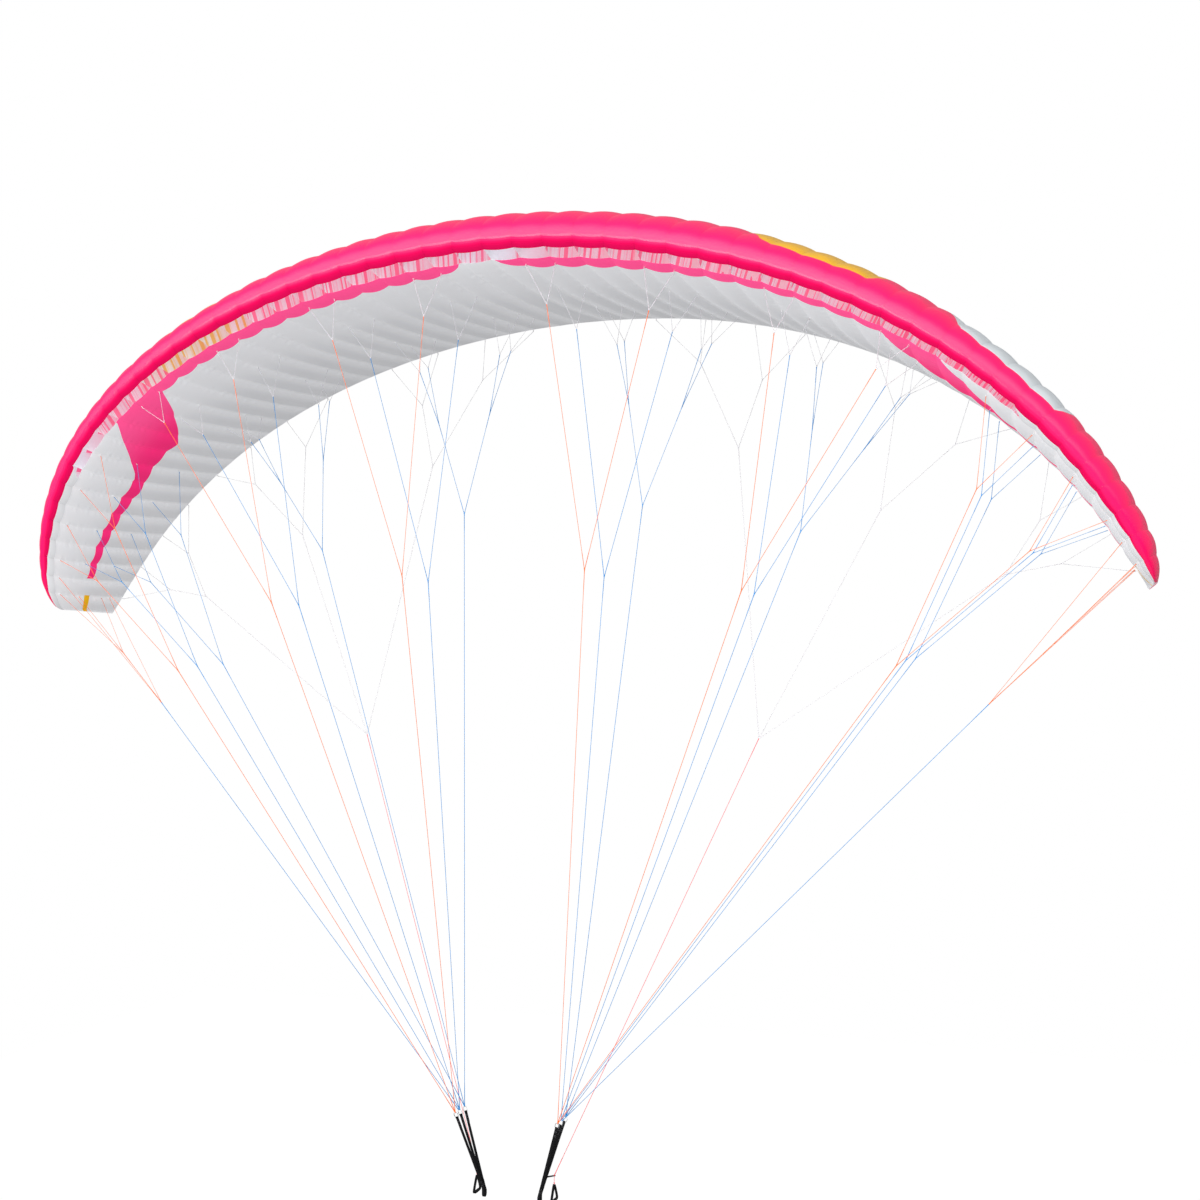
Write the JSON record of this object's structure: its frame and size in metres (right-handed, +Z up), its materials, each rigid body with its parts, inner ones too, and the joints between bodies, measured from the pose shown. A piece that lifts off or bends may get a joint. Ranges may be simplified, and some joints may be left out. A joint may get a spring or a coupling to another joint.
{
  "type": "paraglider",
  "caption": "Light paraglider in flight: arched ram-air canopy with open cells and closed tips, three line rows, brake lines, webbing risers with links, hang loops and sliding brake toggles.",
  "frame": {"origin": "midway between the two hang loops, level with the faces their carabiners bear on", "axes": "+X to the pilot's left, -Y in the direction of flight, +Z up"},
  "size_m": [8.3868, 2.5168, 6.6723],
  "materials": {
    "pink_cloth": "coated ripstop, slight sheen",
    "grey_cloth": "coated ripstop, matt",
    "white_cloth": "coated ripstop, matt",
    "orange_line": "braided cord",
    "blue_line": "braided cord",
    "pale_line": "braided cord",
    "black_webbing": "woven webbing",
    "steel": "polished",
    "dark_ring": "anodised",
    "toggle_webbing": "woven webbing, padded"
  },
  "bodies": {
    "wing": {"upper_skin_centre": "pink_cloth", "lower_skin_centre": "grey_cloth", "ribs_centre": "white_cloth", "upper_skin_middle_left": "pink_cloth", "lower_skin_middle_left": "grey_cloth", "ribs_middle_left": "white_cloth", "upper_skin_middle_right": "pink_cloth", "lower_skin_middle_right": "grey_cloth", "ribs_middle_right": "white_cloth", "upper_skin_outer_left": "pink_cloth", "lower_skin_outer_left": "grey_cloth", "ribs_outer_left": "white_cloth", "upper_skin_outer_right": "pink_cloth", "lower_skin_outer_right": "grey_cloth", "ribs_outer_right": "white_cloth", "lines_a_left": "orange_line", "lines_b_left": "blue_line", "lines_c_left": "blue_line", "lines_tip_left": "blue_line", "lines_brake_left": "pale_line", "brake_guide_left": "dark_ring", "hang_loop_left": "black_webbing", "riser_a_left": "black_webbing", "link_a_left": "steel", "riser_b_left": "black_webbing", "link_b_left": "steel", "riser_c_left": "black_webbing", "link_c_left": "steel", "lines_a_right": "orange_line", "lines_b_right": "blue_line", "lines_c_right": "blue_line", "lines_tip_right": "blue_line", "lines_brake_right": "pale_line", "brake_guide_right": "dark_ring", "hang_loop_right": "black_webbing", "riser_a_right": "black_webbing", "link_a_right": "steel", "riser_b_right": "black_webbing", "link_b_right": "steel", "riser_c_right": "black_webbing", "link_c_right": "steel"},
    "brake_left": {"toggle_left": "toggle_webbing", "toggle_line_left": "orange_line"},
    "brake_right": {"toggle_right": "toggle_webbing", "toggle_line_right": "orange_line"}
  },
  "joints": [
    {"name": "brake_left_pull", "type": "slide", "parent": "wing", "child": "brake_left", "axis": [0, 0, -1], "range_m": [0, 0.55], "stiffness_N_per_m": 60, "springref_m": -0.05},
    {"name": "brake_right_pull", "type": "slide", "parent": "wing", "child": "brake_right", "axis": [0, 0, -1], "range_m": [0, 0.55], "stiffness_N_per_m": 60, "springref_m": -0.05}
  ]
}
